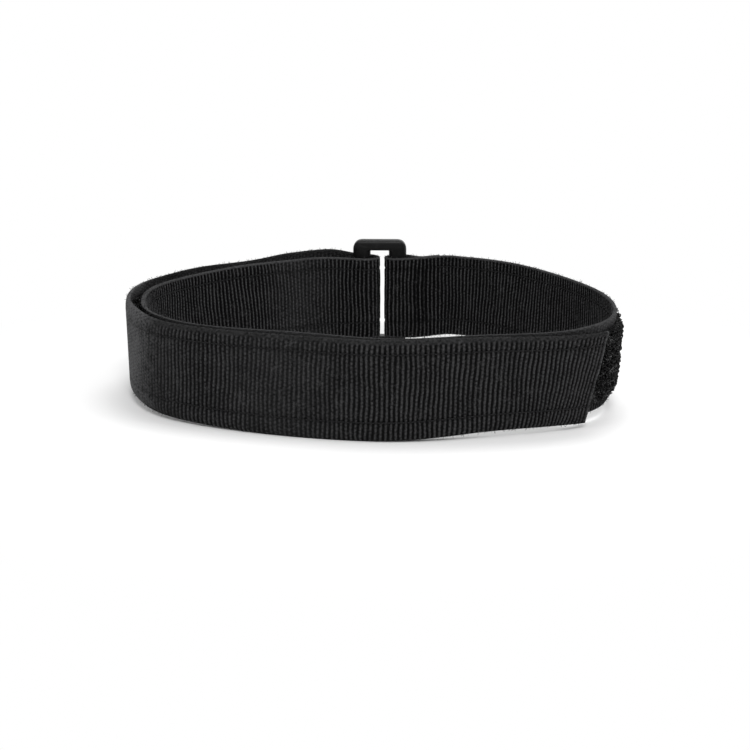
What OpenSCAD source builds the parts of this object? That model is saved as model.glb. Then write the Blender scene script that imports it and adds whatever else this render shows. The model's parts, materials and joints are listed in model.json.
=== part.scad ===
// Hook-and-loop strap tourniquet, closed and standing on its lower edge.
// One strap is sewn to the anchor bar of a slide ring, runs round the limb opening, passes through
// the ring's slot, turns back over the free bar and laps over its own outside.
// Side A of the strap is ribbed webbing. Side B carries loop tape, then hook tape near the free end.

/* [Strap] */
// Width of the webbing
web_w = 25; // [24:1:32]
// Thickness of the webbing
web_t = 1.1; // [0.8:0.1:1.5]
// Width of the hook tape and the loop tape
tape_w = 20; // [14:1:20]
// Thickness of the loop tape, pile included
loop_tape_t = 1; // [0.7:0.1:1.4]
// Thickness of the hook tape, hooks included
hook_tape_t = 1; // [0.7:0.1:1.4]
// Length of the hook tape, from the free end
hook_len = 98; // [80:1:110]
// Distance of each edge seam from the tape's edge
seam_inset = 1.5; // [1:0.1:3]
// Diameter of the sewing thread
thread_d = 0.5; // [0.3:0.1:0.8]
// How far the thread stands out of the webbing
thread_proud = 0.15; // [0.1:0.05:0.3]

/* [Loop] */
// Inside width of the closed loop
loop_w = 127; // [115:1:170]
// Inside depth of the closed loop, from front to ring
loop_d = 97; // [88:1:130]
// Strap length from the ring's middle to the place where the free end lies
tip_at = 123; // [105:1:130]
// Running gap between the lapped layers
lap_gap = 0.3; // [0.2:0.1:0.6]
// Extra gap between the layers at the loop's left end
left_gap = 1.5; // [0:0.1:4]
// How much higher the outer layer passes the ring than the inner layer
lap_rise = 0.2; // [0:0.1:1]
// How much higher the inner layer stands than the outer layer at the front
front_lift = 0.6; // [0:0.1:1]

/* [Ring] */
// Width of the slide ring
ring_w = 17; // [16:0.5:20]
// Height of the slide ring
ring_h = 34.6; // [34:0.2:40]
// Thickness of the slide ring
ring_t = 3.8; // [3:0.2:4.2]
// Width of the slot
slot_w = 5.8; // [5.6:0.1:6.8]
// Clearance of the slot past each edge of the webbing
slot_clear = 1.4; // [1.2:0.1:1.4]
// Corner radius of the ring's outline
ring_corner_r = 3; // [1:0.5:4]
// Edge radius of the ring's two end bars
ring_edge_r = 1.2; // [0.4:0.1:1.4]
// How much more than half the thickness the bars' rounding radius is
bar_crown = 0.1; // [0.1:0.05:0.2]
// Clearance between the strap and the bars that it goes round
ring_fit = 0.4; // [0.3:0.05:0.5]

/* [Anchor] */
// Strap length from the ring's middle to the first cross seam
anchor_seam_at = 14; // [12:0.5:16]
// Spacing of the two cross seams
anchor_seam_gap = 2.4; // [1.5:0.1:4]
// Webbing left past the second cross seam
anchor_tail = 2.2; // [1.5:0.1:4]
// Length over which the layers settle against each other past the anchor
anchor_settle = 8; // [6:1:12]

/* [Movable stretches] */
// Length of the outer layer that stays beside the ring
back_len = 44; // [36:1:52]
// Length of the free end that peels first
tip_len = 48; // [40:1:54]
// Strap length on each side of the ring's middle that moves with the free bar
turn_len = 10; // [9.5:0.5:10]

/* [Hidden] */

webbing_colour = [0.09, 0.09, 0.10];
tape_colour = [0.13, 0.13, 0.14];
thread_colour = [0.20, 0.20, 0.21];
ring_colour = [0.06, 0.06, 0.07];

// Strap length between two outline points
step = 3;
// The same where the anchor's tail closes on the strap
tail_step = 0.8;
// Half the length over which a direction is measured
reach = 1;
// Angle between two outline points on a bar's turn
turn_step = 15;
// Points of the loop's curve between two control points
curve_steps = 12;
// Half the straight stretch of the loop at the ring, as a share of the ring's width
straight_share = 0.65;
// Length over which the outer layer settles from the ring onto the inner layer, in strap widths
settle_share = 1.04;
// Half the stretch over which the layers stand apart at the left end, as a share of the loop's width
left_share = 0.47;

// Bars of the ring and the turns round them
bar_r = ring_t/2 + bar_crown;
bar_x = slot_w/2 + bar_r;
anchor_turn_r = bar_r + ring_fit;
free_turn_r = anchor_turn_r + loop_tape_t;
slot_h = web_w + 2*slot_clear;

// Distances outwards from the loop's inner face
bar_off = web_t + free_turn_r;
lap_off = web_t + loop_tape_t + lap_gap + max(loop_tape_t, hook_tape_t);
outer_turn_off = bar_off + free_turn_r;
tail_turn_off = bar_off + anchor_turn_r;
anchor_off = bar_off - anchor_turn_r;

// The loop's inner face is a closed cubic B-spline. Its control points are shares of half the
// inside width and depth, clockwise from the ring, and the stretch at the ring is straight.
straight = straight_share*ring_w;
half = [loop_w/2, loop_d/2];
SHAPE = [[0.55, 0.82], [0.76, 0.55], [0.95, 0.16], [1.03, -0.27], [0.97, -0.68], [0.74, -0.89],
         [0.44, -0.97], [0.12, -1.04], [-0.21, -0.94], [-0.55, -0.80], [-0.87, -0.61],
         [-1.00, -0.18], [-0.99, 0.20], [-0.84, 0.54], [-0.59, 0.73]];
CONTROL = concat([for (k = [0:2]) [k*straight, half.y]],
                 [for (c = SHAPE) [c.x*half.x, c.y*half.y]],
                 [for (k = [-2:-1]) [k*straight, half.y]]);

function control(i) = CONTROL[(i + len(CONTROL)) % len(CONTROL)];
function spline(i, t) =
    (pow(1 - t, 3)*control(i - 1) + (3*pow(t, 3) - 6*t*t + 4)*control(i)
     + (3*t + 3*t*t - 3*pow(t, 3) + 1)*control(i + 1) + pow(t, 3)*control(i + 2))/6;
CURVE = [for (i = [0:len(CONTROL)]) for (k = [0:curve_steps - 1])
         if (i < len(CONTROL) || k == 0) spline(i % len(CONTROL), k/curve_steps)];
LENGTHS = [for (i = 0, run = 0; i < len(CURVE);
                i = i + 1, run = i < len(CURVE) ? run + norm(CURVE[i] - CURVE[i - 1]) : run) run];
round_len = LENGTHS[len(LENGTHS) - 1];
X_AT = [for (i = [0:len(CURVE) - 1]) [LENGTHS[i], CURVE[i].x]];
Y_AT = [for (i = [0:len(CURVE) - 1]) [LENGTHS[i], CURVE[i].y]];

function smooth(t) = let (u = min(max(t, 0), 1)) u*u*(3 - 2*u);
function left_of(v) = [-v.y, v.x]/norm(v);
function inner_face(s) = [lookup(s, X_AT), lookup(s, Y_AT)];
function outwards(s) = left_of(inner_face(s + reach) - inner_face(s - reach));

// Where along the loop each stretch of the strap starts and ends
seam_2_at = anchor_seam_at + anchor_seam_gap;
tail_end = seam_2_at + anchor_tail;
turn_at = round_len - turn_len;
back_at = round_len - back_len;
front_at = tip_at + hook_len;
peel_at = tip_at + tip_len;
left_at = LENGTHS[search(min([for (p = CURVE) p.x]), [for (p = CURVE) p.x])[0]];
lap_settle = settle_share*web_w;
left_reach = left_share*loop_w;

// Distance of the webbing's B face from the loop's inner face, on each layer and on the tail
function inner_off(s) = web_t + (anchor_off - web_t)*(1 - smooth((s - tail_end)/anchor_settle));
function outer_off(s) = lap_off
    + left_gap*smooth(1 - abs(s - left_at)/left_reach)
    + (outer_turn_off - lap_off)*smooth((s - (round_len - turn_len - 1 - lap_settle))/lap_settle);
function tail_off(s) = let (start = ring_w/2 - bar_r/2)
    inner_off(s) + (tail_turn_off - anchor_off)*(1 - smooth((s - start)/(anchor_seam_at - start)));

// Points of the B face, each with the direction to the B side, in the strap's own sense of travel:
// tail, anchor bar, inner layer, free bar, outer layer. B is on the left of travel.
function at_inner(s) = inner_face(s) + inner_off(s)*outwards(s);
function at_outer(s) = inner_face(s) + outer_off(s)*outwards(s);
function at_tail(s) = inner_face(s) + tail_off(s)*outwards(s);
function stations(a, b, gap = step) =
    let (n = max(ceil(abs(b - a)/gap), 1)) [for (k = [0:n]) a + (b - a)*k/n];
// The inner layer is cut at the same places on its webbing, tape and seams, so that they meet
INNER_CUTS = [turn_len, anchor_seam_at - thread_d/2, anchor_seam_at + thread_d/2,
              seam_2_at - thread_d/2, seam_2_at + thread_d/2, tail_end, turn_at];
function inner_stations(a, b) =
    let (cuts = concat([a], [for (c = INNER_CUTS) if (c > a && c < b) c], [b]))
    concat([for (i = [1:len(cuts) - 1]) let (piece = stations(cuts[i - 1], cuts[i]))
               each [for (k = [0:len(piece) - 2]) piece[k]]], [b]);
function inner_run(a, b) =
    [for (s = inner_stations(a, b))
        [at_inner(s), left_of(at_inner(s + reach) - at_inner(s - reach))]];
function outer_run(a, b) =
    [for (s = stations(a, b)) [at_outer(s), left_of(at_outer(s - reach) - at_outer(s + reach))]];
function tail_run(a, b) =
    [for (s = stations(a, b, tail_step))
        [at_tail(s), left_of(at_tail(s - reach/4) - at_tail(s + reach/4))]];
function anchor_turn() =
    [for (a = [90:turn_step:270]) let (d = [cos(a), sin(a)])
        [[bar_x, half.y + bar_off] + anchor_turn_r*d, -d]];
function free_turn() =
    [for (a = [-90:turn_step:90]) let (d = [cos(a), sin(a)])
        [[-bar_x, half.y + bar_off] + free_turn_r*d, -d]];

anchor_points = concat(tail_run(tail_end, bar_x + step/2), anchor_turn(),
                       inner_run(bar_x + step/2, turn_len));
turn_points = concat(inner_run(turn_at, round_len - bar_x - step/2), free_turn(),
                     outer_run(round_len - bar_x - step/2, turn_at));

// The part's own axis passes through the middle of its bounding box
OUTER_SKIN = [for (p = outer_run(turn_at, tip_at)) p[0] - (web_t + thread_proud)*p[1]];
INNER_SKIN = [for (p = inner_run(tail_end, turn_at)) p[0] + loop_tape_t*p[1]];
x_min = min([for (p = OUTER_SKIN) p.x]);
x_max = max([for (p = INNER_SKIN) p.x]);
y_front = min([for (p = OUTER_SKIN) p.y]);
y_inner_front = min([for (p = INNER_SKIN) p.y]);
y_back = half.y + outer_turn_off + web_t + thread_proud;
middle = [(x_min + x_max)/2, (y_front + y_back)/2];

// Heights of the strap's lower edge
strap_lift = (ring_h - web_w)/2;
y_ring_inner = half.y + web_t/2;
y_ring_outer = half.y + outer_turn_off + web_t/2;
INNER_EDGE = [[y_inner_front, front_lift], [y_ring_inner, strap_lift]];
TURN_EDGE = [[y_ring_inner, strap_lift], [y_ring_outer, strap_lift + lap_rise]];
OUTER_EDGE = [[y_front, 0], [y_ring_outer, strap_lift + lap_rise]];
tape_margin = (web_w - tape_w)/2;
seam_margin = tape_margin + seam_inset;

// Everything is moved so that the part's axis is the Z axis
module placed() {
    translate([-middle.x, -middle.y, 0]) children();
}

// A ribbon that follows points of the B face: from a to b, measured towards the B side, cut to the
// heights low and high above a lower edge that slopes from front to back
module ribbon(points, edge, a, b, low, high) {
    slope = (edge[1].y - edge[0].y)/(edge[1].x - edge[0].x);
    reach_y = loop_d;
    y0 = edge[0].x - reach_y;
    y1 = edge[1].x + reach_y;
    z0 = edge[0].y - reach_y*slope;
    z1 = edge[1].y + reach_y*slope;
    intersection() {
        translate([0, 0, -ring_h])
            linear_extrude(3*ring_h)
                polygon(concat([for (p = points) p[0] + a*p[1]],
                               [for (k = [len(points) - 1:-1:0]) points[k][0] + b*points[k][1]]));
        translate([-loop_w, 0, 0])
            rotate([90, 0, 90])
                linear_extrude(2*loop_w)
                    polygon([[y0, z0 + low], [y1, z1 + low], [y1, z1 + high], [y0, z0 + high]]);
    }
}

module webbing(points, edge) {
    color(webbing_colour) placed() ribbon(points, edge, -web_t, 0, 0, web_w);
}

module tape(points, edge, thick) {
    color(tape_colour) placed() ribbon(points, edge, 0, thick, tape_margin, web_w - tape_margin);
}

// The upper and the lower row of stitches on the A face
module edge_seams(points, edge) {
    color(thread_colour) placed()
        for (low = [seam_margin - thread_d/2, web_w - seam_margin - thread_d/2])
            ribbon(points, edge, -web_t - thread_proud, -web_t, low, low + thread_d);
}

module webbing_anchor() webbing(anchor_points, INNER_EDGE);
module webbing_loop() webbing(inner_run(turn_len, turn_at), INNER_EDGE);
module webbing_turn() webbing(turn_points, TURN_EDGE);
module webbing_back() webbing(outer_run(turn_at, back_at), OUTER_EDGE);
module webbing_side() webbing(outer_run(back_at, front_at), OUTER_EDGE);
module webbing_front() webbing(outer_run(front_at, peel_at), OUTER_EDGE);
module webbing_tip() webbing(outer_run(peel_at, tip_at), OUTER_EDGE);

module loop_tape_inner() tape(inner_run(tail_end, turn_at), INNER_EDGE, loop_tape_t);
module loop_tape_turn() tape(turn_points, TURN_EDGE, loop_tape_t);
module loop_tape_back() tape(outer_run(turn_at, back_at), OUTER_EDGE, loop_tape_t);
module loop_tape_side() tape(outer_run(back_at, front_at), OUTER_EDGE, loop_tape_t);
module hook_tape_front() tape(outer_run(front_at, peel_at), OUTER_EDGE, hook_tape_t);
module hook_tape_tip() tape(outer_run(peel_at, tip_at), OUTER_EDGE, hook_tape_t);

module edge_seams_inner() edge_seams(inner_run(tail_end, turn_at), INNER_EDGE);
module edge_seams_turn() edge_seams(turn_points, TURN_EDGE);
module edge_seams_back() edge_seams(outer_run(turn_at, back_at), OUTER_EDGE);
module edge_seams_side() edge_seams(outer_run(back_at, front_at), OUTER_EDGE);
module edge_seams_front() edge_seams(outer_run(front_at, peel_at), OUTER_EDGE);
module edge_seams_tip() edge_seams(outer_run(peel_at, tip_at), OUTER_EDGE);

// The two rows across the strap that close the anchor fold, seen on the loop's inner face
module anchor_seams() {
    color(thread_colour) placed()
        for (s = [anchor_seam_at, seam_2_at])
            ribbon(inner_run(s - thread_d/2, s + thread_d/2), INNER_EDGE,
                   -web_t - thread_proud, -web_t, seam_margin, web_w - seam_margin);
}

// Outline of a rectangle with rounded corners, as points
function rounded(w, h, r) =
    [for (q = [[1, 1, 0], [-1, 1, 90], [-1, -1, 180], [1, -1, 270]]) for (a = [0:15:90])
        [q.x*(w/2 - r) + r*cos(q.z + a), q.y*(h/2 - r) + r*sin(q.z + a)]];

// A moulded ring: a plate with rounded corners and edges, whose slot leaves two round-nosed bars
module slide_ring() {
    color(ring_colour) placed()
        translate([0, half.y + bar_off, ring_h/2])
            difference() {
                intersection() {
                    rotate([90, 0, 0])
                        linear_extrude(2*ring_t, center = true)
                            polygon(rounded(ring_w, ring_h, ring_corner_r));
                    rotate([90, 0, 90])
                        linear_extrude(2*ring_w, center = true)
                            polygon(rounded(ring_t, ring_h, ring_edge_r));
                    linear_extrude(2*ring_h, center = true)
                        polygon(rounded(ring_w, ring_t, 0.45*ring_t));
                }
                linear_extrude(slot_h, center = true)
                    difference() {
                        square([2*bar_x, 2*ring_t], center = true);
                        for (side = [-1, 1])
                            translate([side*bar_x, 0]) circle(r = bar_r, $fn = 48);
                    }
            }
}

webbing_anchor();
webbing_loop();
webbing_turn();
webbing_back();
webbing_side();
webbing_front();
webbing_tip();
loop_tape_inner();
loop_tape_turn();
loop_tape_back();
loop_tape_side();
hook_tape_front();
hook_tape_tip();
edge_seams_inner();
edge_seams_turn();
edge_seams_back();
edge_seams_side();
edge_seams_front();
edge_seams_tip();
anchor_seams();
slide_ring();
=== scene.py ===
import json
import math
from functools import cache

import bmesh
import bpy
import numpy as np
from bpy.props import FloatProperty, FloatVectorProperty, IntProperty, PointerProperty
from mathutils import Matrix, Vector
from mathutils.bvhtree import BVHTree


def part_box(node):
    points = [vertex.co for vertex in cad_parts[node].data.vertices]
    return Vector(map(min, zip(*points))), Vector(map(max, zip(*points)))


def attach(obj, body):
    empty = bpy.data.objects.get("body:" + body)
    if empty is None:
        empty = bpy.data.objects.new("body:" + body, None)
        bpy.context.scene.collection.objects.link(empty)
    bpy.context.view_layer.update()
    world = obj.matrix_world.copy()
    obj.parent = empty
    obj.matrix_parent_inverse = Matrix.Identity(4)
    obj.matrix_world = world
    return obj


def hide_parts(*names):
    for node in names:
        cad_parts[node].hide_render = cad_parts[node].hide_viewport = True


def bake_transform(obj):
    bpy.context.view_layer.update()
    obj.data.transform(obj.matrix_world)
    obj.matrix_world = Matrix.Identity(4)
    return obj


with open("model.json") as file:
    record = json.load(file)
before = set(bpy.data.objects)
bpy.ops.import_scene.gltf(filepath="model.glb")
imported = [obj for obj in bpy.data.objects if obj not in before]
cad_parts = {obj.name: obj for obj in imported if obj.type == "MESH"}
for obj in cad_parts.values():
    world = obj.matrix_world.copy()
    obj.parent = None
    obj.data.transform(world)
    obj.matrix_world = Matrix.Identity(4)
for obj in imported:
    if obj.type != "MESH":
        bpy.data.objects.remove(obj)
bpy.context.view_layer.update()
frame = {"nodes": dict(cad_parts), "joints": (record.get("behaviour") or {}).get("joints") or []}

bl_info = {
    "name": "Hook-and-loop strap tourniquet",
    "version": (1, 0, 0),
    "blender": (4, 5, 0),
    "location": "3D View > Sidebar > Strap",
    "description": "Dresses the strap, its tapes, its stitching and its slide ring on the packed frame",
    "category": "Add Mesh",
}

MM = 0.001
RING_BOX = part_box("slide_ring")
RING_MIDDLE = (RING_BOX[0] + RING_BOX[1]) / 2

# ---- The photograph: 750 by 750, and the only pixel coordinates in this file ----
PHOTO_W, PHOTO_H = 750, 750
LONGEST = max(PHOTO_W, PHOTO_H)
PHOTO_POINTS = {
    "left_edge": (126.3, None),
    "right_edge": (623.5, None),
    "top_edge": (None, 238.0),
    "bottom_edge": (None, 440.8),
    "ring_left": (352.8, None),
    "ring_right": (408.4, None),
    "slot_top": (383.7, 250.0),
    "slit_middle": (383.5, 295.0),
    "upper_seam": (376.0, 356.8),
    "lower_seam": (376.0, 422.7),
    "cross_seams": (421.0, 295.0),
    "free_end_top": (606.0, 332.0),
    "free_end_bottom": (585.0, 425.0),
    "inner_left_bend": (142.0, None),
}

# ---- The strap's route, with the values of the part's source, in metres ----
WEB_W = 25.0 * MM
WEB_T = 1.1 * MM
TAPE_W = 20.0 * MM
TAPE_T = 1.0 * MM
LAP_GAP = 0.3 * MM
LEFT_GAP = 1.5 * MM
LAP_RISE = 0.2 * MM
FRONT_LIFT = 0.6 * MM
HOOK_LEN = 98.0 * MM
TIP_AT = 123.0 * MM
BACK_LEN = 44.0 * MM
TIP_LEN = 48.0 * MM
TURN_LEN = 10.0 * MM
CROSS_SEAM_AT = 14.0 * MM
CROSS_SEAM_GAP = 2.4 * MM
ANCHOR_TAIL = 2.2 * MM
ANCHOR_SETTLE = 8.0 * MM
HALF = (63.5 * MM, 48.5 * MM)
STRAIGHT = 0.65 * 17.0 * MM
LEFT_REACH = 0.47 * 127.0 * MM
LAP_SETTLE = 1.04 * WEB_W
SHAPE = ((0.55, 0.82), (0.76, 0.55), (0.95, 0.16), (1.03, -0.27), (0.97, -0.68),
         (0.74, -0.89), (0.44, -0.97), (0.12, -1.04), (-0.21, -0.94), (-0.55, -0.80),
         (-0.87, -0.61), (-1.00, -0.18), (-0.99, 0.20), (-0.84, 0.54), (-0.59, 0.73))
CURVE_STEPS = 12
SAMPLE_GAP = 0.25 * MM
BAR_R = 2.0 * MM
BAR_X = 4.9 * MM
ANCHOR_TURN_R = BAR_R + 0.4 * MM
FREE_TURN_R = ANCHOR_TURN_R + TAPE_T
BAR_OFF = WEB_T + FREE_TURN_R
LAP_OFF = WEB_T + 2 * TAPE_T + LAP_GAP
OUTER_TURN_OFF = BAR_OFF + FREE_TURN_R
TAIL_TURN_OFF = BAR_OFF + ANCHOR_TURN_R
ANCHOR_OFF = BAR_OFF - ANCHOR_TURN_R
TAIL_END = CROSS_SEAM_AT + CROSS_SEAM_GAP + ANCHOR_TAIL
TAIL_START = 8.5 * MM - BAR_R / 2
STRAP_LIFT = ((RING_BOX[1] - RING_BOX[0]).z - WEB_W) / 2

# How the cloth lies beside its nominal route, as the photograph shows it. Each bump is its place
# along the loop, its height and its reach, in millimetres; WIDENED has shares of the width as heights
UPPER_EDGE_OUT = ((128, 3.0, 40), (262, 0.6, 45), (312, 2.0, 32), (45, 2.0, 36), (212, -2.6, 60))
PUSHED_OUT = ((212, 1.2, 60), (262, 0.4, 30))
WIDENED = ((334, 0.085, 32), (12, 0.04, 18), (195, 0.03, 40), (166, 0.012, 24), (136, -0.035, 44))
LAP_RAISED = ((150, 1.3, 34), (190, 0.3, 30), (235, -0.15, 30), (278, 0.6, 40),
              (303, 0.5, 18), (323, 0.1, 14), (341, -0.4, 14))
LOOP_RAISED = ((333, -0.4, 28), (296, -0.6, 22), (228, -0.35, 34), (28, 0.6, 20))
RIGHT_SIDE_RAISED = 1.05 * MM
RING_SAG = 1.2 * MM
ROLLED_W = 2.6 * MM          # breadth of the rim that rolls where layers lap
EDGE_ROLL = 0.45 * MM        # how far such a rim bends, away from the front
ROLL_GAP = 0.12 * MM         # what stays open between two rims at the front
RING_SETTLE = 14 * MM        # over which the strap finds its height beside the ring
SLOT_BULGE = 0.6 * MM
SLOT_REACH = 7 * MM
LAP_SLANT = 0.175            # how far the ribs lean, per height across the strap
LAP_LEANS = ((0.3, 95 * MM), (0.7, 26 * MM))     # shares of it, and how far from the free end each starts
INNER_SLANT = 0.03
INNER_BACK = (285 * MM, 346 * MM)
SLANT_SETTLE = 8 * MM

# Spans along the loop: start, length of the rise, end and length of the fall
RIGHT_SIDE = (24 * MM, 24 * MM, 180 * MM, 30 * MM)
OFF_SAG = (8 * MM, 16 * MM, 342 * MM, 40 * MM)
ROLLS_AT_FRONT = (264 * MM, 18 * MM)     # where the lap's rims stop touching, and over what length
# Worn places of the outer and the inner layer, as bumps whose heights are shares; the worn left end
WORN_OUTER = ((204, 0.38, 26),)
WORN_INNER = ((332, 0.30, 16),)
WORN_END = 1.15
WORN_END_REACH = 38 * MM
MOST_WORN = 0.92


def smooth(share):
    share = np.clip(share, 0.0, 1.0)
    return share * share * (3 - 2 * share)


def rise(where, start, over):
    """0 before the start, growing softly to 1 over a length."""
    return smooth((where - start) / over)


def fall(where, end, over):
    """1 at first, sinking softly over a length to 0 at the end."""
    return smooth((end - where) / over)


def span(where, start, over, end, end_over):
    """0 before the start and after the end, and 1 between them, softly over two lengths."""
    return rise(where, start, over) * fall(where, end, end_over)


def wave(t, share, length, tilt, phase=0.0):
    """A sine along the strap, with a phase that changes with the share of its width."""
    return np.sin(t / length + tilt * share + phase)


def bump_at(where, centre, reach):
    """1 at the centre, falling softly to 0 a reach away."""
    return smooth(1 - np.abs(where - centre) / reach)


def bumps(where, table):
    """Sum of the bumps of a table, in the table's own unit of height."""
    return sum(height * bump_at(where, place * MM, reach * MM) for place, height, reach in table)


def left_of(v):
    turned = np.stack([-v[..., 1], v[..., 0]], -1)
    return turned / np.linalg.norm(turned, axis=-1, keepdims=True)


class StrapRoute:
    """The strap from its sewn tail to its free end, as one run of length t.

    Every sample has the point of the B face, the middle of the cloth, the direction to the
    B side, the height of the lower edge, the place s along the loop's inner face, its part
    (0 tail, 1 anchor turn, 2 inner, 3 free turn, 4 outer), and a side that is 1 where B faces
    out of the loop and -1 where it faces in."""

    def __init__(self):
        self.curve, self.curve_len = self.inner_curve()
        self.round_len = self.curve_len[-1]
        self.left_at = self.curve_len[np.argmin(self.curve[:, 0])]
        self.shift = np.array([RING_MIDDLE.x, RING_MIDDLE.y - HALF[1] - BAR_OFF])
        self.sample()
        self.t_inner_back = [self.t_at(2, s) for s in INNER_BACK]
        self.t_turn = float(self.t[self.part == 3].mean())

    def inner_curve(self):
        """The closed cubic B-spline of the loop's inner face."""
        x, y = HALF
        control = np.array([(k * STRAIGHT, y) for k in range(3)]
                           + [(c[0] * x, c[1] * y) for c in SHAPE]
                           + [(k * STRAIGHT, y) for k in (-2, -1)])
        before, here, after, beyond = (np.roll(control, -k, axis=0)[:, None] for k in (-1, 0, 1, 2))
        t = np.arange(CURVE_STEPS)[None, :, None] / CURVE_STEPS
        points = ((1 - t) ** 3 * before + (3 * t ** 3 - 6 * t * t + 4) * here
                  + (3 * t + 3 * t * t - 3 * t ** 3 + 1) * after + t ** 3 * beyond) / 6
        points = points.reshape(-1, 2)
        points = np.concatenate([points, points[:1]])
        steps = np.linalg.norm(np.diff(points, axis=0), axis=1)
        return points, np.concatenate([[0.0], np.cumsum(steps)])

    def face(self, s):
        s = np.asarray(s) % self.round_len
        return np.stack([np.interp(s, self.curve_len, self.curve[:, k]) for k in (0, 1)], -1)

    def outwards(self, s):
        reach = 1.5 * MM
        return left_of(self.face(s + reach) - self.face(s - reach))

    def inner_off(self, s):
        return WEB_T + (ANCHOR_OFF - WEB_T) * (1 - rise(s, TAIL_END, ANCHOR_SETTLE))

    def tail_off(self, s):
        closing = rise(s, TAIL_START, CROSS_SEAM_AT - TAIL_START)
        return self.inner_off(s) + (TAIL_TURN_OFF - ANCHOR_OFF) * (1 - closing)

    def outer_off(self, s):
        start = self.round_len - TURN_LEN - 1 * MM - LAP_SETTLE
        return (LAP_OFF + LEFT_GAP * bump_at(s, self.left_at, LEFT_REACH)
                + (OUTER_TURN_OFF - LAP_OFF) * rise(s, start, LAP_SETTLE))

    def layer(self, s, off):
        return self.face(s) + off(s)[:, None] * self.outwards(s)

    def sample(self):
        """Samples the strap's five parts one after the other."""
        near, far, ring_y = BAR_X, self.round_len - BAR_X, HALF[1] + BAR_OFF
        tail = np.arange(TAIL_END, near, -SAMPLE_GAP)
        inner = np.arange(near, far, SAMPLE_GAP)
        outer = np.arange(far, TIP_AT - SAMPLE_GAP / 2, -SAMPLE_GAP)
        angles = np.radians(np.arange(93, 268, 3.0))
        turn = np.stack([np.cos(angles), np.sin(angles)], -1)
        parts = (
            (self.layer(tail, self.tail_off), tail, -1.0),
            (np.array([BAR_X, ring_y]) + ANCHOR_TURN_R * turn, near + 0 * angles, 0.0),
            (self.layer(inner, self.inner_off), inner, 1.0),
            (np.array([-BAR_X, ring_y]) - FREE_TURN_R * turn, far + 0 * angles, 0.0),
            (self.layer(outer, self.outer_off), outer, -1.0),
        )
        points, self.s = (np.concatenate([part[k] for part in parts]) for k in (0, 1))
        counts = [len(part[1]) for part in parts]
        self.side = np.repeat([part[2] for part in parts], counts)
        self.part = np.repeat(range(len(parts)), counts)
        self.normal = left_of(np.gradient(points, axis=0))
        self.point = points + self.shift
        self.middle = self.point - WEB_T / 2 * self.normal
        steps = np.linalg.norm(np.diff(self.middle, axis=0), axis=1)
        self.t = np.concatenate([[0.0], np.cumsum(steps)])
        self.length = self.t[-1]
        self.t_lap = self.t[np.argmax(self.part == 4)]
        self.low = self.lower_edge(self.middle[:, 1])

    def lower_edge(self, y):
        """Heights of the lower edge, as the part's source slopes it from front to ring."""
        ring_inner = RING_MIDDLE.y - BAR_OFF + WEB_T / 2
        ring_outer = ring_inner + OUTER_TURN_OFF
        inner_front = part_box("loop_tape_inner")[0].y
        outer_front = min(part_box(node)[0].y for node in frame["nodes"])
        inner = FRONT_LIFT + (STRAP_LIFT - FRONT_LIFT) * (y - inner_front) / (ring_inner - inner_front)
        outer = (STRAP_LIFT + LAP_RISE) * (y - outer_front) / (ring_outer - outer_front)
        turn = STRAP_LIFT + LAP_RISE * (y - ring_inner) / (ring_outer - ring_inner)
        return np.select([self.part <= 2, self.part == 3], [inner, turn], outer)

    def t_at(self, part, s):
        """The run of length at a place of the loop, on one layer: 0 tail, 2 inner, 4 outer."""
        here = self.part == part
        order = np.argsort(self.s[here])
        return float(np.interp(s, self.s[here][order], self.t[here][order]))

    def place(self, t, across, depth):
        """Points at run t, at a height across the strap and a depth towards the B side."""
        t, across, depth = np.broadcast_arrays(t, across, depth)
        t = t + self.slant(t, across) + self.wobble(t, across)
        x, y, s, side, low = (np.interp(t, self.t, values) for values in (
            self.point[:, 0], self.point[:, 1], self.s, self.side, self.low))
        n = self.direction(t)
        lean = side * MM * (bumps(s, UPPER_EDGE_OUT) * across / WEB_W + bumps(s, PUSHED_OUT))
        edge = np.clip((np.abs(across) - (WEB_W / 2 - ROLLED_W)) / ROLLED_W, 0, 1)
        push = depth + lean + self.roll(s) * edge * edge + self.slack(t, across)
        wide = across * (1 + bumps(s, WIDENED))
        z = low + WEB_W / 2 + wide + self.wander(t, s)
        return np.stack([x + push * n[..., 0], y + push * n[..., 1], z], -1)

    def direction(self, t):
        n = np.stack([np.interp(t, self.t, self.normal[:, k]) for k in (0, 1)], -1)
        return n / np.linalg.norm(n, axis=-1, keepdims=True)

    def slant(self, t, across):
        """How far along the strap its ribs lean, as the photo shows on the lap and inside the back."""
        first, last = self.t_inner_back
        on_inner = span(t, first, SLANT_SETTLE, last, SLANT_SETTLE)
        near_end = sum(share * rise(t, self.length - reach, reach) for share, reach in LAP_LEANS)
        return -LAP_SLANT * near_end * (WEB_W / 2 - across) - INNER_SLANT * on_inner * across

    def wobble(self, t, across):
        """Small waves of the ribs, in metres along the strap."""
        share = across / WEB_W
        return MM * (0.16 * wave(t, share, 3.1 * MM, 4) * wave(t, share, 23 * MM, 5.1)
                     + 0.12 * wave(t, share, 7.7 * MM, -7.0, 1.3)
                     + 0.05 * wave(t, share, 1.7 * MM, 31))

    def slack(self, t, across):
        """The looser turn of the lap bulges across the ring's slot."""
        return -SLOT_BULGE * bump_at(t, self.t_turn, SLOT_REACH) * (1 - 0.9 * (across / WEB_W) ** 2)

    def roll(self, s):
        """How far the edges of lapped layers bend towards each other."""
        lapped = span(s, TIP_AT, 12 * MM, self.round_len - 26 * MM, RING_SETTLE)
        room = (self.outer_off(s) - WEB_T) / 2 - ROLL_GAP
        return lapped * (EDGE_ROLL + fall(s, *ROLLS_AT_FRONT) * (room - EDGE_ROLL))

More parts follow.
